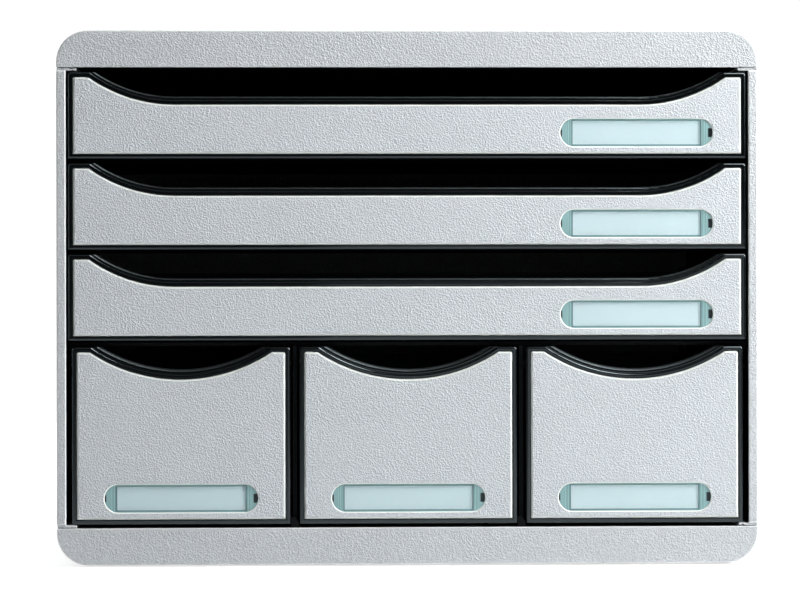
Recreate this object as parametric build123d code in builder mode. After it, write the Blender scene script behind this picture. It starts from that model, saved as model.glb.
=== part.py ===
from build123d import *
import os
from dataclasses import dataclass
from math import acos, degrees

# Desktop drawer set in moulded plastic: three full-width drawers over three small deep ones.
# Millimetres. X is the width, the drawers face -Y and Z is up. The origin is under the middle
# of the set, on the surface that it stands on.

# ---- casing ----
WIDTH = 355.0
DEPTH = 270.0
CASING_HEIGHT = 270.0
PAD_PROUD = 1.0             # the rubber pads lift the casing by this much
CAP_HEIGHT = 18.6
CAP_RADIUS = 16.0           # rounded ends of both caps, seen from the front
CAP_WALL = 2.6
CAP_RIB = 1.6               # ribs inside each cap, over and under the partitions
CAP_FOOT_BEVEL = 0.4        # front and rear edges of each cap, next to the opening
EDGE_ROUND = 0.9            # soft outer edges of the casing
SIDE_SKIN = 2.2
LIP_WIDTH = 4.7             # front and rear edge of each side wall
LIP_DEPTH = 2.0
LIP_BEVEL = 0.5
LIP_END_BEVEL = 0.4
STRIP_HEIGHT = 1.6          # flange at the top and foot of each side wall, a seam strip in front
STRIP_REACH = 10.0
STRIP_SET_BACK = 0.8
STRIP_SHRINK = 0.3
STRIP_BEVEL = 0.3
HOOK_OFFSET = 6.75          # from the outer face to the middle of the hook, where it starts
HOOK_WIDTH = 0.7            # the tongue of each cap that hooks into a slot in one strip
HOOK_DEPTH = 0.9
HOOK_LEAN = 1.2
HOOK_PLAY = 0.25
HOOK_SET_BACK = 3.0         # the tongue starts this far behind the end of its slot
SEAM_GAP = 0.45             # dark line between a cap and a strip, at the front and the rear
CLAW_GAP = 0.65             # the same over the end of the hooked strip
SEAM_GAP_DEPTH = 1.8
DECK = 1.6
DECK_LAP = 1.3              # how far each deck lies on the strips
LINER = 2.4                 # thickness of the black runner panels
PARTITION = 2.0
BACK = 2.0
BACK_SINK = 0.7             # the back panel lies this far in front of the rear lips
BACK_TONGUE = 3.0           # it reaches this far behind each cap
BACK_FIELD = (300.0, 200.0) # raised frame on the back panel, with two uprights
BACK_FIELD_ROUND = 14.0
BACK_RIB = 8.0
BACK_RIB_RISE = 1.2
BACK_RIB_PITCH = 95.0
SEAT = 0.1                  # how far a fixed rib or ledge runs into the wall that it stands on
TINY = 0.01                 # within this, two levels are the same
FIT = 0.2                   # general gap between pieces that are pushed together
SNUG = 0.1                  # gap round the runner panels

# ---- drawers ----
FRONT_SET_BACK = 0.5        # drawer fronts sit this far behind the casing's front
TOP_MARGIN = 21.1           # from the casing's top to the first front
FRONT_GAP = 2.2             # between the full-width fronts, one above another
DIVIDER_FRONT_GAP = 3.1     # between them and the small ones, in front of the divider deck
SMALL_GAP = 4.4             # between the small fronts, side by side
RIM = 2.05                  # black rim round each face plate
GROOVE = 0.5               # gap between the rim and the plate
RIM_ROUND = 1.2
PLATE = 2.0
PLATE_PROUD = 0.2           # the plate's face stands this far in front of the rim's
PLATE_BEVEL = 0.95
POCKET = PLATE - PLATE_PROUD
FRONT_WALL = 4.5            # front of the tray, from the rim's face to its inner side
TRAY_LENGTH = 250.0
TRAY_WALL = 1.8
TRAY_CORNER = 5.0
TRAY_FLOOR_ROUND = 2.0
TRAY_BELOW_TOP = 7.4        # side walls end this far under the top of the front
FLANGE = 1.6                # flange along the top of each tray side
FLANGE_START = 12.0
LIP_FROM = 1.2              # rolled lip behind each scoop, measured from the rim's face
LIP_TO = 9.0
LIP_BELOW = 4.0
LIP_OVERLAP = 4.0
LIP_BACK_ROUND = 3.0
SIDE_TOP_ROUND = 1.5        # corner radii of the front, at the ears, the foot and the scoop's tips
FOOT_ROUND = 1.5
SCOOP_ROUND = 2.0
POCKET_ROUNDS = (0.8, 0.8, 1.5)
PLATE_ROUNDS = (1.0, 1.0, 1.5)
PEG_RADIUS = 1.5            # pegs behind each face plate
PEG_LENGTH = 3.2
PEG_PLAY = 0.1

# ---- runners ----
TRAVEL = 194.0              # how far each drawer pulls out, up to its stop
LEDGE = 2.3                 # ledge that carries a flange, and rib that holds it down
LEDGE_START = 13.0
LEDGE_STOP = 2.0            # the ledges end this far in front of the back panel
LEDGE_PLAY = 0.2
HOLD_DOWN_PLAY = 0.4
STOP_START = 15.0           # stop block, behind the casing's front
STOP_LENGTH = 4.0
STOP_PLAY = 0.3
NIB_HEIGHT = 3.0            # stop nib on top of each tray side
NIB_LENGTH = 4.0
PARTITION_LEDGE = 3.2
SIDE_LEDGE = 4.8
FLOOR_RAIL_WIDTH = 3.0
FLOOR_RAIL_SPREAD = 40.0
DIVIDER = 1.8
DIVIDER_START = 11.0        # behind the casing's front
DIVIDER_GAP = 0.5           # over the small fronts and under the flat ones
TOE_RISE = 3.5              # toe of each partition, over the foot of the small fronts
TOE_LOW = 0.5
TOE_FLAT = 2.1              # level part of its top; the rest slopes down
TOE = (1.2, 7.0)            # from its front to its rear, behind the casing's front
PARTITION_START = 5.0       # behind the casing's front

# ---- label holders ----
WINDOW_LENGTH = 77.4
WINDOW_HEIGHT = 14.0
WINDOW_LEVEL = 13.15         # middle of the window, above the foot of the front
WINDOW_BEVEL = 0.5
WINDOW_MARGIN = 14.5        # from the end of the window to the end of a full-width plate
LENS_PLAY = 0.2
LENS_BASE_LENGTH = 83.0
LENS_BASE_HEIGHT = 17.0
LENS_BASE = 1.1             # depth of the recess behind the plate for the lens
LENS_BASE_PLAY = 0.05
LENS_SINK = 0.7             # the lens is this far behind the plate's face
LENS_STEP = 0.15            # the middle of the lens, over the card, is a little lower
LENS_MIDDLE = 65.8
NOTCHES = ((0.9, 3.7), (2.3, 4.6))  # finger notches at the left and right end: width, height
CARD_LENGTH = 64.8
CARD_HEIGHT = 12.5
CARD = 0.3
CARD_GAP = 0.1              # between the card and the lens in front of it

# ---- pads ----
PAD_RADIUS = 6.0
PAD_HEIGHT = 2.0
PAD_ROUND = 0.4
PAD_PLACE = (150.0, 110.0)

FRONT = -DEPTH / 2
REAR = DEPTH / 2
BASE = PAD_PROUD
TOP = BASE + CASING_HEIGHT
MID_HEIGHT = (BASE + TOP) / 2
CAP_SEAM = TOP - CAP_HEIGHT                 # the top cap sits on the strips here
BAY_TOP = CAP_SEAM - STRIP_HEIGHT
BAY_FLOOR = BASE + CAP_HEIGHT + STRIP_HEIGHT
BAY_HALF = WIDTH / 2 - LIP_WIDTH            # half the opening between the side walls
STRIP_TIP = WIDTH / 2 - STRIP_REACH
DECK_HALF = STRIP_TIP + DECK_LAP
DRAWER_FRONT = FRONT + FRONT_SET_BACK
BACK_FACE = REAR - LIP_DEPTH - BACK_SINK    # rear face of the back panel
BACK_INNER = BACK_FACE - BACK
LEDGES = (FRONT + LEDGE_START, BACK_INNER - LEDGE_STOP)
STOP = FRONT + STOP_START                   # front face of each stop block


@dataclass
class Front:
    """Size of a drawer front and of the tray behind it."""
    width: float
    height: float
    drop: float             # depth of the finger scoop
    run: float              # width of one arc of the scoop
    straight: float         # half of the straight stretch between the arcs
    lip_rise: float         # how far the rolled lip stands above the rim
    lip_front_round: float
    tray_half: float
    flange_half: float
    floor_lift: float
    window_x: float
    pegs: tuple             # where the face plate's pegs are, across and up

    @property
    def radius(self):
        return (self.run ** 2 + self.drop ** 2) / (2 * self.drop)

    @property
    def wall_top(self):
        return self.height - TRAY_BELOW_TOP


FLAT_WIDTH = 343.4
FLAT_EAR = 11.3
FLAT_RUN = 42.5
FLAT_WINDOW = FLAT_WIDTH / 2 - RIM - GROOVE - WINDOW_MARGIN - WINDOW_LENGTH / 2
SMALL_WIDTH = 110.4
SMALL_EAR = 10.1

FLAT = Front(
    width=FLAT_WIDTH, height=43.8, drop=13.85, run=FLAT_RUN,
    straight=FLAT_WIDTH / 2 - FLAT_EAR - FLAT_RUN,
    lip_rise=1.6, lip_front_round=1.4, tray_half=167.2, flange_half=171.4, floor_lift=2.0,
    window_x=FLAT_WINDOW, pegs=((-160.0, 14.0), (-52.0, 14.0), (52.0, 14.0), (160.0, 14.0)),
)
SMALL = Front(
    width=SMALL_WIDTH, height=89.6, drop=13.85, run=SMALL_WIDTH / 2 - SMALL_EAR, straight=0.0,
    lip_rise=2.6, lip_front_round=2.2, tray_half=52.0, flange_half=55.6, floor_lift=0.0,
    window_x=0.0, pegs=((-42.0, 62.0), (42.0, 62.0), (-42.0, 32.0), (42.0, 32.0)),
)


@dataclass
class Drawer:
    """One drawer: its name, its size and the middle of the foot of its front."""
    name: str
    front: Front
    x: float
    bottom: float


FIRST_BOTTOM = TOP - TOP_MARGIN - FLAT.height
FLAT_BOTTOMS = [FIRST_BOTTOM - row * (FLAT.height + FRONT_GAP) for row in range(3)]
SMALL_BOTTOM = FLAT_BOTTOMS[-1] - DIVIDER_FRONT_GAP - SMALL.height
SMALL_PITCH = SMALL.width + SMALL_GAP
PARTITION_X = SMALL_PITCH / 2
DIVIDER_FOOT = SMALL_BOTTOM + SMALL.height + DIVIDER_GAP

DRAWERS = [
    Drawer(name, FLAT, 0.0, bottom)
    for name, bottom in zip(("upper_flat", "middle_flat", "lower_flat"), FLAT_BOTTOMS)
] + [
    Drawer(name, SMALL, column * SMALL_PITCH, SMALL_BOTTOM)
    for name, column in (("left_small", -1), ("centre_small", 0), ("right_small", 1))
]


# ---- shared shapes ----
def face_plane(x, y, z):
    """Upright plane through a point: across is +X, up is +Z, and it faces the front."""
    return Plane((x, y, z), x_dir=(1, 0, 0), z_dir=(0, -1, 0))


def block(x, y, z, mode=Mode.ADD):
    """A box between two limits on each axis, given in either order."""
    sizes = [abs(high - low) for low, high in (x, y, z)]
    with Locations(tuple((low + high) / 2 for low, high in (x, y, z))):
        Box(*sizes, mode=mode)


def front_outline(front, inset=0.0, rounds=(SIDE_TOP_ROUND, FOOT_ROUND, SCOOP_ROUND)):
    """Outline of a drawer front with its finger scoop, drawn in by inset on every side.

    rounds are the radii of the corners at the ears, at the foot and at the scoop's tips."""
    half = front.width / 2 - inset
    top = front.height - inset
    centre = front.height - front.drop + front.radius
    radius = front.radius + inset
    swing = degrees(acos((centre - top) / radius))
    with BuildSketch() as outline:
        with BuildLine():
            left = CenterArc((-front.straight, centre), radius, 270 - swing, swing)
            right = CenterArc((front.straight, centre), radius, 270, swing)
            if front.straight:
                Line(left @ 1, right @ 0)
            Polyline(right @ 1, (half, top), (half, inset), (-half, inset), (-half, top), left @ 0)
        make_face()
        if rounds:
            left_ear, left_tip, right_tip, right_ear = (
                outline.vertices().group_by(Axis.Y)[-1].sort_by(Axis.X)
            )
            feet = outline.vertices().group_by(Axis.Y)[0]
            for corners, size in zip(((left_ear, right_ear), feet, (left_tip, right_tip)), rounds):
                fillet(corners, size)
    return outline.sketch


def lip_band(front):
    """Band along the scoop, from just above its edge to a little under it."""
    with BuildSketch() as band:
        add(front_outline(front, -front.lip_rise, rounds=None))
        add(front_outline(front, LIP_BELOW, rounds=None), mode=Mode.SUBTRACT)
        with Locations((0, front.height)):
            Rectangle(
                2 * (front.straight + front.run + LIP_OVERLAP), front.drop + 2 * LIP_BELOW,
                align=(Align.CENTER, Align.MAX), mode=Mode.INTERSECT,
            )
    return band.sketch


def rolled_lip(drawer):
    """The thick rounded edge behind the scoop, where the fingers pull."""
    front = drawer.front
    level = drawer.bottom + front.height - front.drop + front.lip_rise
    with BuildPart() as lip:
        with BuildSketch(face_plane(drawer.x, DRAWER_FRONT + LIP_TO, drawer.bottom)):
            add(lip_band(front))
        extrude(amount=LIP_TO - LIP_FROM)
        for face, size in ((0, front.lip_front_round), (-1, LIP_BACK_ROUND)):
            edges = lip.faces().sort_by(Axis.Y)[face].edges()
            arcs = [e for e in edges.filter_by(GeomType.CIRCLE) if e.radius < front.radius]
            straight = [e for e in edges.filter_by(GeomType.LINE) if abs(e.center().Z - level) < TINY]
            fillet(arcs + straight, size)
    return lip.part


def tray_cavity(drawer):
    """The room inside a tray, with soft corners."""
    front = drawer.front
    half = front.tray_half - TRAY_WALL
    near, far = DRAWER_FRONT + FRONT_WALL, DRAWER_FRONT + TRAY_LENGTH - TRAY_WALL
    floor = drawer.bottom + front.floor_lift + TRAY_WALL
    with BuildPart() as cavity:
        block((drawer.x - half, drawer.x + half), (near, far), (floor, drawer.bottom + front.height))
        fillet(cavity.edges().filter_by(Axis.Z), TRAY_CORNER - TRAY_WALL)
        fillet(cavity.faces().sort_by(Axis.Z)[0].edges(), TRAY_FLOOR_ROUND)
    return cavity.part


# ---- casing ----
def cap_profile(wall):
    """Section of the top cap, drawn in by wall at the top and the ends."""
    with BuildSketch() as profile:
        with Locations((0, TOP - wall)):
            Rectangle(WIDTH - 2 * wall, CAP_HEIGHT - wall, align=(Align.CENTER, Align.MAX))
        fillet(profile.vertices().group_by(Axis.Y)[-1], CAP_RADIUS - wall)
    return profile.sketch


def hook_profile(grow=0.0):
    """Leaning tongue under the left end of the top cap, or the slot for it in the strip."""
    middle = HOOK_OFFSET - WIDTH / 2
    half, foot = HOOK_WIDTH / 2 + grow, CAP_SEAM - HOOK_DEPTH - grow
    lean = HOOK_LEAN * (1 + grow / HOOK_DEPTH)
    with BuildSketch() as hook:
        with BuildLine():
            Polyline(
                (middle - half, CAP_SEAM + SEAT), (middle - half, CAP_SEAM),
                (middle - half + lean, foot), (middle + half + lean, foot),
                (middle + half, CAP_SEAM), (middle + half, CAP_SEAM + SEAT), close=True,
            )
        make_face()
    return hook.sketch


def turn_over(part):
    """Half a turn in the front view: top left goes to bottom right."""
    return part.rotate(Axis((0, 0, MID_HEIGHT), (0, 1, 0)), 180)


def build_cap(name, turned):
    """A hollow cap with rounded ends. The bottom cap is the same moulding turned over."""
    inside = (FRONT + CAP_WALL, REAR - CAP_WALL)
    tongue = (FRONT + STRIP_SET_BACK + HOOK_SET_BACK, REAR - STRIP_SET_BACK - HOOK_SET_BACK)
    with BuildPart() as cap:
        with BuildSketch(face_plane(0, REAR, 0)):
            add(cap_profile(0))
        extrude(amount=DEPTH)
        for end in (0, -1):
            foot, *outer = cap.faces().sort_by(Axis.Y)[end].edges().sort_by(Axis.Z)
            fillet(outer, EDGE_ROUND)
            foot = cap.faces().sort_by(Axis.Y)[end].edges().sort_by(Axis.Z)[0]
            chamfer(foot, CAP_FOOT_BEVEL)
        with BuildSketch(face_plane(0, inside[1], 0)):
            add(cap_profile(CAP_WALL))
        extrude(amount=inside[1] - inside[0], mode=Mode.SUBTRACT)
        for side in (-1, 1):
            rib = (side * PARTITION_X - CAP_RIB / 2, side * PARTITION_X + CAP_RIB / 2)
            block(rib, (inside[0], BACK_INNER - FIT), (CAP_SEAM + DECK, TOP - CAP_WALL))
            # A flange along the foot of each end stands on the strip.
            block(
                (side * (DECK_HALF + FIT), side * (WIDTH / 2 - CAP_WALL)), inside,
                (CAP_SEAM, CAP_SEAM + DECK),
            )
        with BuildSketch(face_plane(0, tongue[1], 0)):
            add(hook_profile())
        extrude(amount=tongue[1] - tongue[0])
        if turned:
            add(turn_over(cap.part), mode=Mode.REPLACE)
            with BuildSketch(Plane.XY.offset(BASE)):
                with GridLocations(2 * PAD_PLACE[0], 2 * PAD_PLACE[1], 2, 2):
                    Circle(PAD_RADIUS + FIT)
            extrude(amount=PAD_HEIGHT - PAD_PROUD, mode=Mode.SUBTRACT)
    return finish(cap, name)


def build_strip(low, high, bay_level):
    """Flange at one end of the left side wall, bevelled where it faces the bay."""
    outer, tip = STRIP_SHRINK - WIDTH / 2, -STRIP_TIP
    ends = (FRONT + STRIP_SET_BACK, REAR - STRIP_SET_BACK)
    with BuildPart() as strip:
        block((outer, tip), ends, (low, high))
        for end in (0, -1):
            edges = strip.faces().sort_by(Axis.Y)[end].edges()
            facing = [e for e in edges.filter_by(Axis.X) if abs(e.center().Z - bay_level) < TINY]
            facing += [e for e in edges.filter_by(Axis.Z) if abs(e.center().X - tip) < TINY]
            chamfer(facing, STRIP_BEVEL)
    return strip.part


def build_side_wall(name, turned):
    """Outer skin with a lip along its front and rear edge and a strip at each end. Both side
    walls are the same moulding: the right one is the left one turned over."""
    outer, bay = -WIDTH / 2, -BAY_HALF
    slot = (FRONT + STRIP_SET_BACK, REAR - STRIP_SET_BACK)
    with BuildPart() as wall:
        block((outer, outer + SIDE_SKIN), (FRONT, REAR), (BAY_FLOOR, BAY_TOP))
        fillet(wall.faces().sort_by(Axis.X)[0].edges().filter_by(Axis.Z), EDGE_ROUND)
        for face, depth in ((FRONT, LIP_DEPTH), (REAR, -LIP_DEPTH)):
            block((outer + EDGE_ROUND, bay), (face, face + depth), (BAY_FLOOR, BAY_TOP))
        for end in (0, -1):
            inner = wall.faces().sort_by(Axis.Y)[end].edges().filter_by(Axis.Z)
            chamfer(inner.sort_by(Axis.X)[-1], LIP_BEVEL)
            chamfer(wall.faces().sort_by(Axis.Y)[end].edges().filter_by(Axis.X), LIP_END_BEVEL)
        add(build_strip(BAY_TOP, CAP_SEAM, BAY_TOP))
        add(build_strip(BASE + CAP_HEIGHT, BAY_FLOOR, BAY_FLOOR))
        with BuildSketch(face_plane(0, slot[1], 0)):
            add(hook_profile(HOOK_PLAY))
        extrude(amount=slot[1] - slot[0], mode=Mode.SUBTRACT)
        for near, far in ((slot[0], slot[0] + SEAM_GAP_DEPTH), (slot[1] - SEAM_GAP_DEPTH, slot[1])):
            for x, level, gap in (
                ((outer, -STRIP_TIP), CAP_SEAM, -SEAM_GAP),
                ((HOOK_OFFSET - WIDTH / 2, -STRIP_TIP), CAP_SEAM, -CLAW_GAP),
                ((outer, -STRIP_TIP), BASE + CAP_HEIGHT, SEAM_GAP),
            ):
                block(x, (near, far), (level, level + gap), mode=Mode.SUBTRACT)
        if turned:
            add(turn_over(wall.part), mode=Mode.REPLACE)
    return finish(wall, name)


def build_back_panel():
    """Closing panel between the side skins, with tongues behind the caps and a raised frame."""
    half = WIDTH / 2 - SIDE_SKIN - FIT
    across, up = BACK_FIELD
    with BuildPart() as back:
        block((-half, half), (BACK_INNER, BACK_FACE), (BAY_FLOOR + FIT, BAY_TOP - FIT))
        block(
            (FIT - STRIP_TIP, STRIP_TIP - FIT), (BACK_INNER, BACK_FACE),
            (BASE + CAP_HEIGHT - BACK_TONGUE, CAP_SEAM + BACK_TONGUE),
        )
        with BuildSketch(face_plane(0, BACK_FACE + BACK_RIB_RISE, MID_HEIGHT)):
            RectangleRounded(across, up, BACK_FIELD_ROUND)
            RectangleRounded(
                across - 2 * BACK_RIB, up - 2 * BACK_RIB, BACK_FIELD_ROUND - BACK_RIB / 2,
                mode=Mode.SUBTRACT,
            )
            with GridLocations(BACK_RIB_PITCH, 0, 2, 1):
                Rectangle(BACK_RIB, up - BACK_RIB)
        extrude(amount=BACK_RIB_RISE + SEAT)
    return finish(back, "back_panel")


def carry(drawer, wall, tip):
    """Ledge, hold-down rib and stop block that one wall gives to one side of a drawer.

    wall is the face of the wall, and tip the free edge of the ledge."""
    side = 1 if wall > drawer.x else -1
    flange_top = drawer.bottom + drawer.front.wall_top
    ledge_top = flange_top - FLANGE - LEDGE_PLAY
    rib_foot = flange_top + HOLD_DOWN_PLAY
    root = wall + side * SEAT
    catch = drawer.x + side * (drawer.front.tray_half - TRAY_WALL + FIT)
    block((root, tip), LEDGES, (ledge_top - LEDGE, ledge_top))
    block((root, tip), (STOP, LEDGES[1]), (rib_foot, rib_foot + LEDGE))
    block((root, catch), (STOP, STOP + STOP_LENGTH), (rib_foot, rib_foot + NIB_HEIGHT))


def build_runner_panel(name, side):
    """Black inner side of the casing, with a ledge for each drawer beside it."""
    face, tip = side * BAY_HALF, side * (BAY_HALF - SIDE_LEDGE)
    beside = [d for d in DRAWERS if d.front is FLAT or d.x * side > 0]
    with BuildPart() as panel:
        block(
            (face, face + side * LINER), (FRONT + LIP_DEPTH + SNUG, BACK_INNER - FIT),
            (BAY_FLOOR + SNUG, BAY_TOP - SNUG),
        )
        for drawer in beside:
            carry(drawer, face, tip)
        # Ledge under the edge of the divider deck.
        block((face + side * SEAT, tip), LEDGES, (DIVIDER_FOOT - LEDGE, DIVIDER_FOOT))
    return finish(panel, name)


def build_cap_deck(name, low, rails):
    """Black sheet across the casing under or over the strips, with rails if drawers run on it."""
    with BuildPart() as deck:
        block((-DECK_HALF, DECK_HALF), (FRONT + CAP_WALL + FIT, BACK_INNER - FIT), (low, low + DECK))
        for drawer in DRAWERS if rails else []:
            if drawer.front is SMALL:
                for x in (drawer.x - FLOOR_RAIL_SPREAD, drawer.x + FLOOR_RAIL_SPREAD):
                    block(
                        (x - FLOOR_RAIL_WIDTH / 2, x + FLOOR_RAIL_WIDTH / 2),
                        LEDGES, (low, SMALL_BOTTOM - LEDGE_PLAY),
                    )
    return finish(deck, name)


def build_divider_deck():
    """Black shelf between the flat drawers and the small ones."""
    with BuildPart() as deck:
        block(
            (FIT - BAY_HALF, BAY_HALF - FIT), (FRONT + DIVIDER_START, BACK_INNER - FIT),
            (DIVIDER_FOOT, DIVIDER_FOOT + DIVIDER),
        )
    return finish(deck, "divider_deck")


def build_partition(name, x):
    """Black upright between two small drawers, with a toe at its front foot."""
    foot = BASE + CAP_HEIGHT
    faces = (x - PARTITION / 2, x + PARTITION / 2)
    beside = [d for d in DRAWERS if d.front is SMALL and abs(d.x - x) < SMALL_PITCH]
    left, right = x - SMALL_GAP / 2 + FIT, x + SMALL_GAP / 2 - FIT
    toe_top, toe_low = SMALL_BOTTOM + TOE_RISE, SMALL_BOTTOM + TOE_LOW
    with BuildPart() as partition:
        block(faces, (FRONT + PARTITION_START, BACK_INNER - FIT), (foot, DIVIDER_FOOT))
        for drawer in beside:
            wall = faces[1] if drawer.x > x else faces[0]
            side = 1 if drawer.x > x else -1
            carry(drawer, wall, wall + side * PARTITION_LEDGE)
        with BuildSketch(face_plane(0, FRONT + TOE[1], 0)):
            with BuildLine():
                Polyline(
                    (left, foot), (left, toe_top), (left + TOE_FLAT, toe_top), (right, toe_low),
                    (right, foot), close=True,
                )
            make_face()
        extrude(amount=TOE[1] - TOE[0])
    return finish(partition, name)


def build_foot_pads():
    """Four rubber pads in recesses under the bottom cap."""
    with BuildPart() as pads:
        with GridLocations(2 * PAD_PLACE[0], 2 * PAD_PLACE[1], 2, 2):
            Cylinder(PAD_RADIUS, PAD_HEIGHT, align=(Align.CENTER, Align.CENTER, Align.MIN))
        fillet(pads.edges().group_by(Axis.Z)[0], PAD_ROUND)
    return finish(pads, "foot_pads")


# ---- drawers ----
def build_tray(drawer):
    """Black tray: rimmed front with a pocket for the plate, box, flanges and stop nibs."""
    front = drawer.front
    x, foot = drawer.x, drawer.bottom
    wall_top = foot + front.wall_top
    far = DRAWER_FRONT + TRAY_LENGTH
    nib = STOP + STOP_LENGTH + TRAVEL + STOP_PLAY
    with BuildPart() as tray:
        with BuildSketch(face_plane(x, DRAWER_FRONT + FRONT_WALL, foot)):
            add(front_outline(front))
        extrude(amount=FRONT_WALL)
        fillet(tray.faces().sort_by(Axis.Y)[0].outer_wire().edges(), RIM_ROUND)
        block(
            (x - front.tray_half, x + front.tray_half), (DRAWER_FRONT + FRONT_WALL, far),
            (foot + front.floor_lift, wall_top),
        )
        fillet(tray.edges().filter_by(Axis.Z).group_by(Axis.Y)[-1], TRAY_CORNER)
        add(tray_cavity(drawer), mode=Mode.SUBTRACT)
        add(rolled_lip(drawer))
        for side in (-1, 1):
            inner = x + side * (front.tray_half - TRAY_WALL)
            block(
                (inner, x + side * front.flange_half),
                (DRAWER_FRONT + FLANGE_START, far - TRAY_CORNER), (wall_top - FLANGE, wall_top),
            )
            block(
                (inner, x + side * front.tray_half), (nib, nib + NIB_LENGTH),
                (wall_top - FLANGE, wall_top + NIB_HEIGHT),
            )
        with BuildSketch(face_plane(x, DRAWER_FRONT + POCKET, foot)):
            add(front_outline(front, RIM, POCKET_ROUNDS))
        extrude(amount=POCKET, mode=Mode.SUBTRACT)
        with BuildSketch(face_plane(x, DRAWER_FRONT + POCKET + PEG_LENGTH + FIT, foot)):
            with Locations(*front.pegs):
                Circle(PEG_RADIUS + PEG_PLAY)
        extrude(amount=PEG_LENGTH + FIT + SEAT, mode=Mode.SUBTRACT)
    return finish(tray, drawer.name + "_tray")


def build_face_plate(drawer):
    """Light plate in the rimmed front, with bevelled edges, a label window and four pegs."""
    front = drawer.front
    face, back = DRAWER_FRONT - PLATE_PROUD, DRAWER_FRONT + POCKET
    x, foot = drawer.x, drawer.bottom
    with BuildPart() as plate:
        with BuildSketch(face_plane(x, back, foot)):
            add(front_outline(front, RIM + GROOVE, PLATE_ROUNDS))
        extrude(amount=PLATE)
        with BuildSketch(face_plane(x, back, foot)):
            with Locations((front.window_x, WINDOW_LEVEL)):
                SlotOverall(WINDOW_LENGTH, WINDOW_HEIGHT)
        extrude(amount=PLATE, mode=Mode.SUBTRACT)
        front_face = plate.faces().sort_by(Axis.Y)[0]
        chamfer(front_face.outer_wire().edges(), PLATE_BEVEL)
        front_face = plate.faces().sort_by(Axis.Y)[0]
        chamfer(front_face.inner_wires()[0].edges(), WINDOW_BEVEL)
        with BuildSketch(face_plane(x, back, foot)):
            with Locations((front.window_x, WINDOW_LEVEL)):
                Rectangle(LENS_BASE_LENGTH + 2 * LENS_PLAY, LENS_BASE_HEIGHT + 2 * LENS_PLAY)
        extrude(amount=LENS_BASE, mode=Mode.SUBTRACT)
        with BuildSketch(face_plane(x, back + PEG_LENGTH, foot)):
            with Locations(*front.pegs):
                Circle(PEG_RADIUS)
        extrude(amount=PEG_LENGTH + (back - face) / 2)
    return finish(plate, drawer.name + "_face_plate")


def build_label_lens(drawer):
    """Translucent label holder: a base behind the plate and a nose in its window."""
    front = drawer.front
    back = DRAWER_FRONT + POCKET
    nose = back - (DRAWER_FRONT - PLATE_PROUD + LENS_SINK)
    middle = face_plane(drawer.x + front.window_x, back, drawer.bottom + WINDOW_LEVEL)
    with BuildPart() as lens:
        with BuildSketch(middle):
            Rectangle(LENS_BASE_LENGTH, LENS_BASE_HEIGHT)
        extrude(amount=LENS_BASE - LENS_BASE_PLAY)
        with BuildSketch(middle):
            SlotOverall(WINDOW_LENGTH - 2 * LENS_PLAY, WINDOW_HEIGHT - 2 * LENS_PLAY)
        extrude(amount=nose)
        with BuildSketch(middle.offset(nose)):
            Rectangle(LENS_MIDDLE, WINDOW_HEIGHT)
        extrude(amount=-LENS_STEP, mode=Mode.SUBTRACT)
        with BuildSketch(middle):
            Rectangle(CARD_LENGTH + 2 * LENS_PLAY, CARD_HEIGHT + 2 * LENS_PLAY)
        extrude(amount=CARD + CARD_GAP, mode=Mode.SUBTRACT)
        with BuildSketch(middle):
            for side, (width, height) in zip((-1, 1), NOTCHES):
                with Locations((side * (WINDOW_LENGTH - width) / 2, 0)):
                    Rectangle(width, height)
        extrude(amount=nose, mode=Mode.SUBTRACT)
    return finish(lens, drawer.name + "_label_lens")


def build_label_card(drawer):
    """Blank card in the pocket behind the lens."""
    back = DRAWER_FRONT + POCKET
    with BuildPart() as card:
        with BuildSketch(face_plane(drawer.x + drawer.front.window_x, back, drawer.bottom + WINDOW_LEVEL)):
            Rectangle(CARD_LENGTH, CARD_HEIGHT)
        extrude(amount=CARD)
    return finish(card, drawer.name + "_label_card")


def finish(piece, name):
    """Name a finished piece, write it and print its size."""
    piece.part.label = name
    export_step(piece.part, f"parts/{name}.step")
    size = piece.part.bounding_box().size
    print(f"{name}: {len(piece.part.solids())} solid(s), {size.X:.1f} x {size.Y:.1f} x {size.Z:.1f} mm")
    return piece.part


os.makedirs("parts", exist_ok=True)

build_cap("top_cap", turned=False)
build_cap("bottom_cap", turned=True)
build_side_wall("left_side_wall", turned=False)
build_side_wall("right_side_wall", turned=True)
for name, side in (("left", -1), ("right", 1)):
    build_runner_panel(name + "_runner_panel", side)
    build_partition(name + "_partition", side * PARTITION_X)
build_back_panel()
build_cap_deck("top_deck", CAP_SEAM, rails=False)
build_cap_deck("bottom_deck", BASE + CAP_HEIGHT - DECK, rails=True)
build_divider_deck()
build_foot_pads()
for drawer in DRAWERS:
    build_tray(drawer)
    build_face_plate(drawer)
    build_label_lens(drawer)
    build_label_card(drawer)
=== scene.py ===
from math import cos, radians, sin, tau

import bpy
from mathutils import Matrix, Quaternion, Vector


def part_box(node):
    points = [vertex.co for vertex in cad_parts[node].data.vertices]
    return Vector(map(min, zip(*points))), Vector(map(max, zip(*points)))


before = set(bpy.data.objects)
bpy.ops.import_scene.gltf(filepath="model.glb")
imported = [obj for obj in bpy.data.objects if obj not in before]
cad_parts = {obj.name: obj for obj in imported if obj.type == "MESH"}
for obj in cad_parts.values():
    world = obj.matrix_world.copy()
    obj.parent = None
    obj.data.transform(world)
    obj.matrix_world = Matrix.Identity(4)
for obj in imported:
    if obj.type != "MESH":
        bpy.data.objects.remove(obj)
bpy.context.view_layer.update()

# Desktop drawer set in moulded plastic: a pale grey casing of two caps and two side walls, six
# black trays with pale grained face plates, and tinted label holders. The solids of the frame
# give the shapes, and this script gives them their finishes, the stage, the light and the camera.

bpy.ops.object.select_all(action="DESELECT")

MM = 0.001
DRAWERS = ("upper_flat", "middle_flat", "lower_flat", "left_small", "centre_small", "right_small")


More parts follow.
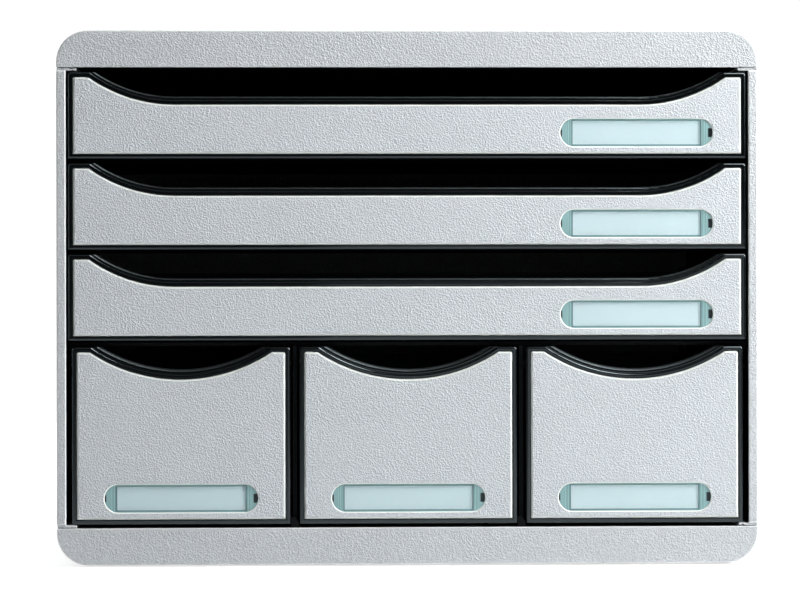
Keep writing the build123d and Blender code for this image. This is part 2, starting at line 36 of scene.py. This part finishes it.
# ---- camera ----
FRONT = -135 * MM                   # plane of the casing's front
AIM = Vector((-4.2 * MM, FRONT, 134.6 * MM))
DISTANCE = 1.6                      # from the camera to the casing's front
AZIMUTH = -1.7                      # the camera stands a little to the left
ROLL = -0.11
MM_PER_PIXEL = 0.5057               # of the photograph, at the casing's front
PHOTO_WIDTH = 800

back = Vector((sin(radians(AZIMUTH)), -cos(radians(AZIMUTH)), 0.0))
lens = bpy.data.cameras.new("camera")
lens.sensor_width = 36.0
lens.lens = lens.sensor_width * DISTANCE / (MM_PER_PIXEL * MM * PHOTO_WIDTH)
lens.clip_start, lens.clip_end = 0.05, 50.0
camera = bpy.data.objects.new("camera", lens)
camera.rotation_mode = "QUATERNION"
camera.location = AIM + back * DISTANCE
level_view = (-back).to_track_quat("-Z", "Y")
camera.rotation_quaternion = level_view @ Quaternion((0, 0, 1), radians(ROLL))
bpy.context.scene.collection.objects.link(camera)
bpy.context.scene.camera = camera


# ---- making materials ----
def linear(code):
    """Linear colour of an sRGB hex code, as Blender's sockets take it."""
    parts = [int(code[i:i + 2], 16) / 255 for i in (1, 3, 5)]
    return [p / 12.92 if p <= 0.04045 else ((p + 0.055) / 1.055) ** 2.4 for p in parts] + [1.0]


def add(tree, kind, settings=None, inputs=None):
    """Add a node with its settings, and link or set its inputs."""
    made = tree.nodes.new(kind)
    for name, value in (settings or {}).items():
        setattr(made, name, value)
    for key, value in (inputs or {}).items():
        if isinstance(value, bpy.types.Node):
            value = value.outputs[0]
        if isinstance(value, bpy.types.NodeSocket):
            tree.links.new(value, made.inputs[key])
        else:
            made.inputs[key].default_value = value
    return made


def new_material(name):
    """An empty material and its node tree."""
    material = bpy.data.materials.new(name)
    material.use_nodes = True
    material.node_tree.nodes.clear()
    return material, material.node_tree


def paint(material, *names):
    """Give a finish to CAD nodes."""
    for name in names:
        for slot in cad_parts[name].material_slots:
            slot.material = material


# ---- finishes ----
# Each piece's own coordinates are those of the frame, in metres.
CLEAR_HALF = (32.4 * MM, 5.9 * MM)  # half of the clear part of each label lens, across and up
RIB_PITCH = 0.8 * MM                # of the fine ribs at both ends of the clear part
RIBS_TO = 35.6 * MM                 # where they end, from the middle of the lens
STEP_SHADE_LINE = (0.55 * MM, 0.75 * MM)  # painted shade: a dark line round the clear part ends here, past its edge
RIM_BACK = -133.2 * MM              # the polished rims of the drawer fronts end here
BLEND = 0.2 * MM                    # width over which one finish passes into the next


def grained_polystyrene(name, colour, bevel_highlight_colour, grain, depth):
    """Pale polystyrene from a spark-eroded mould: a fine pebbled grain on the flats that breaks
    the light into specks, and smooth edges where the mould was bevelled and polished, painted
    paler as a painted highlight."""
    material, tree = new_material(name)
    place = add(tree, "ShaderNodeTexCoord").outputs["Object"]
    pebbles = add(tree, "ShaderNodeTexVoronoi", {"feature": "SMOOTH_F1"},
                  {"Vector": place, "Scale": 1 / grain, "Smoothness": 0.5})
    # The pebbles run together into short worms about twice as long as they are wide.
    worms = add(tree, "ShaderNodeTexNoise", {},
                {"Vector": place, "Scale": 1 / (1.5 * grain), "Detail": 2.0, "Roughness": 0.55})
    height = add(tree, "ShaderNodeMath", {"operation": "MULTIPLY_ADD"},
                 {0: worms, 1: 1.2, 2: pebbles})
    # Bevels and rounded edges are the faces that lean, neither facing along Y nor lying along it.
    normal = add(tree, "ShaderNodeNewGeometry").outputs["Normal"]
    along = add(tree, "ShaderNodeSeparateXYZ", {}, {"Vector": normal}).outputs["Y"]
    faces_front = add(tree, "ShaderNodeMath", {"operation": "MULTIPLY"}, {0: along, 1: along})
    faces_side = add(tree, "ShaderNodeMath", {"operation": "SUBTRACT"}, {0: 1.0, 1: faces_front})
    tilt = add(tree, "ShaderNodeMath", {"operation": "MULTIPLY"}, {0: faces_front, 1: faces_side})
    edge = add(tree, "ShaderNodeMapRange", {"interpolation_type": "SMOOTHSTEP"},
               {"Value": tilt, "From Min": 0.03, "From Max": 0.16})
    flat = add(tree, "ShaderNodeMath", {"operation": "SUBTRACT"}, {0: 1.0, 1: edge})
    # Flow of the melt: patches some 30 mm wide, a hair lighter or darker.
    flow = add(tree, "ShaderNodeTexNoise", {},
               {"Vector": place, "Scale": 1 / (30 * MM), "Detail": 1.0})
    shade = add(tree, "ShaderNodeMapRange", {}, {"Value": flow, "To Min": 0.975, "To Max": 1.025})
    # The hollows of the grain are painted darker than its tops: painted shade.
    hollow_shade = add(tree, "ShaderNodeMapRange", {},
               {"Value": height, "From Min": 0.4, "From Max": 1.5, "To Min": 0.84, "To Max": 1.1})
    tone = add(tree, "ShaderNodeMath", {"operation": "MULTIPLY"}, {0: shade, 1: hollow_shade})
    grey = add(tree, "ShaderNodeMix", {"data_type": "RGBA", "blend_type": "MULTIPLY"},
               {0: 1.0, 6: linear(colour), 7: tone}).outputs[2]
    # Bevels and rounded edges take the paler bevel colour: a painted highlight.
    base = add(tree, "ShaderNodeMix", {"data_type": "RGBA"},
               {0: edge, 6: grey, 7: linear(bevel_highlight_colour)}).outputs[2]
    roughness = add(tree, "ShaderNodeMapRange", {},
                    {"Value": flat, "To Min": 0.28, "To Max": 0.55})
    bump = add(tree, "ShaderNodeBump", {}, {"Strength": flat, "Distance": depth, "Height": height})
    shader = add(tree, "ShaderNodeBsdfPrincipled", {},
                 {"Base Color": base, "Roughness": roughness, "IOR": 1.55, "Normal": bump})
    add(tree, "ShaderNodeOutputMaterial", {}, {"Surface": shader})
    return material


def black_polystyrene(name, colour, rim_roughness, inner_roughness, specular):
    """Black polystyrene: the rim of each drawer front comes from a polished part of the mould and
    mirrors the lamps, with a cool cast, and the rest is satin, with a faintly uneven skin."""
    material, tree = new_material(name)
    place = add(tree, "ShaderNodeTexCoord").outputs["Object"]
    skin = add(tree, "ShaderNodeTexNoise", {},
               {"Vector": place, "Scale": 1 / (4 * MM), "Detail": 2.0})
    haze = add(tree, "ShaderNodeTexNoise", {},
               {"Vector": place, "Scale": 1 / (22 * MM), "Detail": 3.0})
    depth = add(tree, "ShaderNodeSeparateXYZ", {}, {"Vector": place}).outputs["Y"]
    gloss = add(tree, "ShaderNodeMapRange", {},
                {"Value": depth, "From Min": RIM_BACK, "From Max": RIM_BACK + BLEND,
                 "To Min": rim_roughness, "To Max": inner_roughness})
    drift = add(tree, "ShaderNodeMapRange", {}, {"Value": haze, "To Min": -0.03, "To Max": 0.03})
    gloss = add(tree, "ShaderNodeMath", {"operation": "ADD"}, {0: gloss, 1: drift})
    shade = add(tree, "ShaderNodeMapRange", {}, {"Value": haze, "To Min": 0.85, "To Max": 1.15})
    base = add(tree, "ShaderNodeMix", {"data_type": "RGBA", "blend_type": "MULTIPLY"},
               {0: 1.0, 6: linear(colour), 7: shade}).outputs[2]
    bump = add(tree, "ShaderNodeBump", {},
               {"Strength": 0.3, "Distance": 0.01 * MM, "Height": skin})
    shader = add(tree, "ShaderNodeBsdfPrincipled", {},
                 {"Base Color": base, "Roughness": gloss, "IOR": 1.59,
                  "Specular IOR Level": specular, "Specular Tint": linear("#dff0f7"),
                  "Normal": bump})
    add(tree, "ShaderNodeOutputMaterial", {}, {"Surface": shader})
    return material


def tinted_polystyrene(name, middle, level):
    """Turquoise polystyrene of the label holders: thin and clear over the card, so that the card
    shows, and thick and milky round it, with fine upright ribs at both ends of the card."""
    material, tree = new_material(name)
    place = add(tree, "ShaderNodeTexCoord").outputs["Object"]
    parts = add(tree, "ShaderNodeSeparateXYZ", {}, {"Vector": place}).outputs
    across = add(tree, "ShaderNodeMath", {"operation": "SUBTRACT"}, {0: parts["X"], 1: middle})
    across = add(tree, "ShaderNodeMath", {"operation": "ABSOLUTE"}, {0: across})
    up = add(tree, "ShaderNodeMath", {"operation": "SUBTRACT"}, {0: parts["Z"], 1: level})
    up = add(tree, "ShaderNodeMath", {"operation": "ABSOLUTE"}, {0: up})
    # How far a point is past the clear part, along the one or the other side.
    past_end = add(tree, "ShaderNodeMath", {"operation": "SUBTRACT"},
                   {0: across, 1: CLEAR_HALF[0]})
    past_side = add(tree, "ShaderNodeMath", {"operation": "SUBTRACT"}, {0: up, 1: CLEAR_HALF[1]})
    outside = add(tree, "ShaderNodeMath", {"operation": "MAXIMUM"}, {0: past_end, 1: past_side})
    thick = add(tree, "ShaderNodeMapRange", {},
                {"Value": outside, "From Min": 0.0, "From Max": BLEND})
    ends = add(tree, "ShaderNodeMapRange", {},
               {"Value": past_end, "From Min": 0.0, "From Max": BLEND})
    turn = add(tree, "ShaderNodeMath", {"operation": "MULTIPLY"}, {0: across, 1: tau / RIB_PITCH})
    wave = add(tree, "ShaderNodeMath", {"operation": "SINE"}, {0: turn})
    within = add(tree, "ShaderNodeMapRange", {},
                 {"Value": across, "From Min": RIBS_TO, "From Max": RIBS_TO + BLEND,
                  "To Min": 1.0, "To Max": 0.0})
    ribbed = add(tree, "ShaderNodeMath", {"operation": "MULTIPLY"}, {0: ends, 1: within})
    ribs = add(tree, "ShaderNodeMath", {"operation": "MULTIPLY"}, {0: wave, 1: ribbed})
    # The ribs are bumped, and also painted lighter and darker in turn: painted light and shade on
    # the ribs.
    rib_light_and_shade = add(tree, "ShaderNodeMapRange", {},
                {"Value": ribs, "From Min": -1.0, "From Max": 1.0, "To Min": 0.72, "To Max": 1.28})
    body = add(tree, "ShaderNodeMix", {"data_type": "RGBA", "blend_type": "MULTIPLY"},
               {0: 1.0, 6: linear("#a6d0d2"), 7: rib_light_and_shade}).outputs[2]
    # The step round the clear part is painted as a darker line: painted shade.
    step_shade = add(tree, "ShaderNodeMapRange", {},
               {"Value": outside, "From Min": STEP_SHADE_LINE[0], "From Max": STEP_SHADE_LINE[1],
                "To Min": 0.55, "To Max": 1.0})
    body = add(tree, "ShaderNodeMix", {"data_type": "RGBA", "blend_type": "MULTIPLY"},
               {0: 1.0, 6: body, 7: step_shade}).outputs[2]
    base = add(tree, "ShaderNodeMix", {"data_type": "RGBA"},
               {0: thick, 6: linear("#a8e2e8"), 7: body}).outputs[2]
    bump = add(tree, "ShaderNodeBump", {},
               {"Strength": 0.8, "Distance": 0.12 * MM, "Height": ribs})
    milky = add(tree, "ShaderNodeBsdfPrincipled", {},
                {"Base Color": base, "Roughness": 0.22, "IOR": 1.55, "Normal": bump})
    clear = add(tree, "ShaderNodeBsdfTransparent", {}, {"Color": linear("#fafcfd")})
    share = add(tree, "ShaderNodeMapRange", {}, {"Value": thick, "To Min": 0.12, "To Max": 0.75})
    both = add(tree, "ShaderNodeMixShader", {}, {0: share, 1: clear, 2: milky})
    add(tree, "ShaderNodeOutputMaterial", {}, {"Surface": both})
    return material


def label_paper(name):
    """Uncoated white card: matt, with faint fibres."""
    material, tree = new_material(name)
    place = add(tree, "ShaderNodeTexCoord").outputs["Object"]
    fibres = add(tree, "ShaderNodeTexNoise", {},
                 {"Vector": place, "Scale": 1 / (0.5 * MM), "Detail": 4.0})
    shade = add(tree, "ShaderNodeMapRange", {}, {"Value": fibres, "To Min": 0.96, "To Max": 1.04})
    base = add(tree, "ShaderNodeMix", {"data_type": "RGBA", "blend_type": "MULTIPLY"},
               {0: 1.0, 6: linear("#f6f7f7"), 7: shade}).outputs[2]
    bump = add(tree, "ShaderNodeBump", {},
               {"Strength": 0.4, "Distance": 0.02 * MM, "Height": fibres})
    shader = add(tree, "ShaderNodeBsdfPrincipled", {},
                 {"Base Color": base, "Roughness": 0.85, "Normal": bump})
    add(tree, "ShaderNodeOutputMaterial", {}, {"Surface": shader})
    return material


def pad_rubber(name):
    """Black rubber of the pads: dull and slightly dusty."""
    material, tree = new_material(name)
    place = add(tree, "ShaderNodeTexCoord").outputs["Object"]
    dust = add(tree, "ShaderNodeTexNoise", {},
               {"Vector": place, "Scale": 1 / (0.6 * MM), "Detail": 3.0})
    base = add(tree, "ShaderNodeMix", {"data_type": "RGBA"},
               {0: dust, 6: linear("#141414"), 7: linear("#2b2b2a")}).outputs[2]
    bump = add(tree, "ShaderNodeBump", {},
               {"Strength": 0.5, "Distance": 0.05 * MM, "Height": dust})
    shader = add(tree, "ShaderNodeBsdfPrincipled", {},
                 {"Base Color": base, "Roughness": 0.8, "Normal": bump})
    add(tree, "ShaderNodeOutputMaterial", {}, {"Surface": shader})
    return material


casing = grained_polystyrene("grained_grey_polystyrene_casing", "#c8cdd1", "#f6f8f9",
                             0.8 * MM, 0.34 * MM)
plates = grained_polystyrene("grained_grey_polystyrene_plates", "#cdd3d8", "#f9fffb",
                             0.75 * MM, 0.37 * MM)
paint(casing, "top_cap", "bottom_cap", "left_side_wall", "right_side_wall", "back_panel")
paint(plates, *(drawer + "_face_plate" for drawer in DRAWERS))
paint(black_polystyrene("satin_black_polystyrene_trays", "#040607", 0.12, 0.5, 1.0),
      *(drawer + "_tray" for drawer in DRAWERS))
paint(black_polystyrene("dull_black_polystyrene_runners", "#040405", 0.5, 0.5, 0.15),
      "left_runner_panel", "right_runner_panel", "top_deck", "bottom_deck", "divider_deck",
      "left_partition", "right_partition")
for drawer in DRAWERS:
    low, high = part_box(drawer + "_label_lens")
    paint(tinted_polystyrene("turquoise_polystyrene_" + drawer, (low.x + high.x) / 2,
                             (low.z + high.z) / 2), drawer + "_label_lens")
paint(label_paper("white_label_card"), *(drawer + "_label_card" for drawer in DRAWERS))
paint(pad_rubber("black_rubber_pads"), "foot_pads")


# ---- stage and light ----
STAGE_SIZE = 16.0
BACKDROP_Y = 4.5
GLOW_RISE = (0.4, 1.5)              # the floor's glow rises over these distances from the middle
DIM_ROOM = (-0.7, -0.25)            # the room in front of the stage is dim: what gloss sees of
GLOSS_SHARE = (0.08, 0.4)           # the glow rises between these places along Y
LAMPS = (                           # name, place, width, height and power
    ("key", (0.86, -0.64, 0.5), 0.32, 0.32, 8.2),
    ("top", (0.5, -0.5, 1.0), 0.7, 0.25, 7.6),
    ("ceiling", (-0.1, -0.4, 1.5), 1.2, 1.2, 1.0),
    ("reflector", (0.1, -0.6, 0.03), 0.3, 0.3, 0.12),
    ("left", (-1.5, 0.15, 0.5), 0.8, 0.8, 3.0),
    ("rear", (-0.5, 1.4, 0.8), 1.0, 1.0, 12.0),
)


def pale_stage(name, near_glow, far_glow):
    """Pale matt board that looks white to the camera and dimmer to gloss. The floor glows less
    near the drawer set, so that the set's shadow stays on it."""
    material, tree = new_material(name)
    place = add(tree, "ShaderNodeTexCoord").outputs["Object"]
    distance = add(tree, "ShaderNodeVectorMath", {"operation": "LENGTH"}, {0: place})
    glow = add(tree, "ShaderNodeMapRange", {},
               {"Value": distance.outputs["Value"], "From Min": GLOW_RISE[0],
                "From Max": GLOW_RISE[1], "To Min": near_glow, "To Max": far_glow})
    depth = add(tree, "ShaderNodeSeparateXYZ", {}, {"Vector": place}).outputs["Y"]
    lit = add(tree, "ShaderNodeMapRange", {},
              {"Value": depth, "From Min": DIM_ROOM[0], "From Max": DIM_ROOM[1],
               "To Min": GLOSS_SHARE[0], "To Max": GLOSS_SHARE[1]})
    rays = add(tree, "ShaderNodeLightPath").outputs
    glossy = add(tree, "ShaderNodeMath", {"operation": "MULTIPLY"},
                 {0: rays["Is Glossy Ray"], 1: lit})
    seen = add(tree, "ShaderNodeMath", {"operation": "MAXIMUM"},
               {0: rays["Is Camera Ray"], 1: glossy})
    seen = add(tree, "ShaderNodeMath", {"operation": "MAXIMUM"},
               {0: seen, 1: rays["Is Transmission Ray"]})
    strength = add(tree, "ShaderNodeMath", {"operation": "MULTIPLY"}, {0: seen, 1: glow})
    # Gloss also sees the board itself darker.
    tone = add(tree, "ShaderNodeMix", {"data_type": "RGBA"},
               {0: rays["Is Glossy Ray"], 6: linear("#eeeeee"), 7: linear("#a8a8a8")}).outputs[2]
    board = add(tree, "ShaderNodeBsdfDiffuse", {}, {"Color": tone})
    light = add(tree, "ShaderNodeEmission", {}, {"Strength": strength})
    both = add(tree, "ShaderNodeAddShader", {}, {0: board, 1: light})
    add(tree, "ShaderNodeOutputMaterial", {}, {"Surface": both})
    return material


def soft_box(name, place, width, height, power):
    """A rectangular lamp that faces the point that the camera aims at."""
    lamp = bpy.data.lights.new(name, "AREA")
    lamp.shape = "RECTANGLE"
    lamp.size, lamp.size_y, lamp.energy = width, height, power
    box = bpy.data.objects.new(name, lamp)
    box.location = place
    box.rotation_mode = "QUATERNION"
    box.rotation_quaternion = (AIM - Vector(place)).to_track_quat("-Z", "Y")
    bpy.context.scene.collection.objects.link(box)


bpy.ops.mesh.primitive_plane_add(size=STAGE_SIZE)
floor = bpy.context.object
floor.name = "floor"
floor.data.materials.append(pale_stage("pale_floor", 0.72, 1.0))
bpy.ops.mesh.primitive_plane_add(size=STAGE_SIZE, location=(0, BACKDROP_Y, 0),
                                 rotation=(radians(90), 0, 0))
wall = bpy.context.object
wall.name = "backdrop"
wall.data.materials.append(pale_stage("pale_backdrop", 1.0, 1.0))

for lamp in LAMPS:
    soft_box(*lamp)

world = bpy.data.worlds.new("studio")
world.use_nodes = True
sky = world.node_tree.nodes["Background"].inputs
sky["Color"].default_value = linear("#ffffff")
sky["Strength"].default_value = 0.02
bpy.context.scene.world = world
bpy.context.scene.view_settings.view_transform = "Standard"
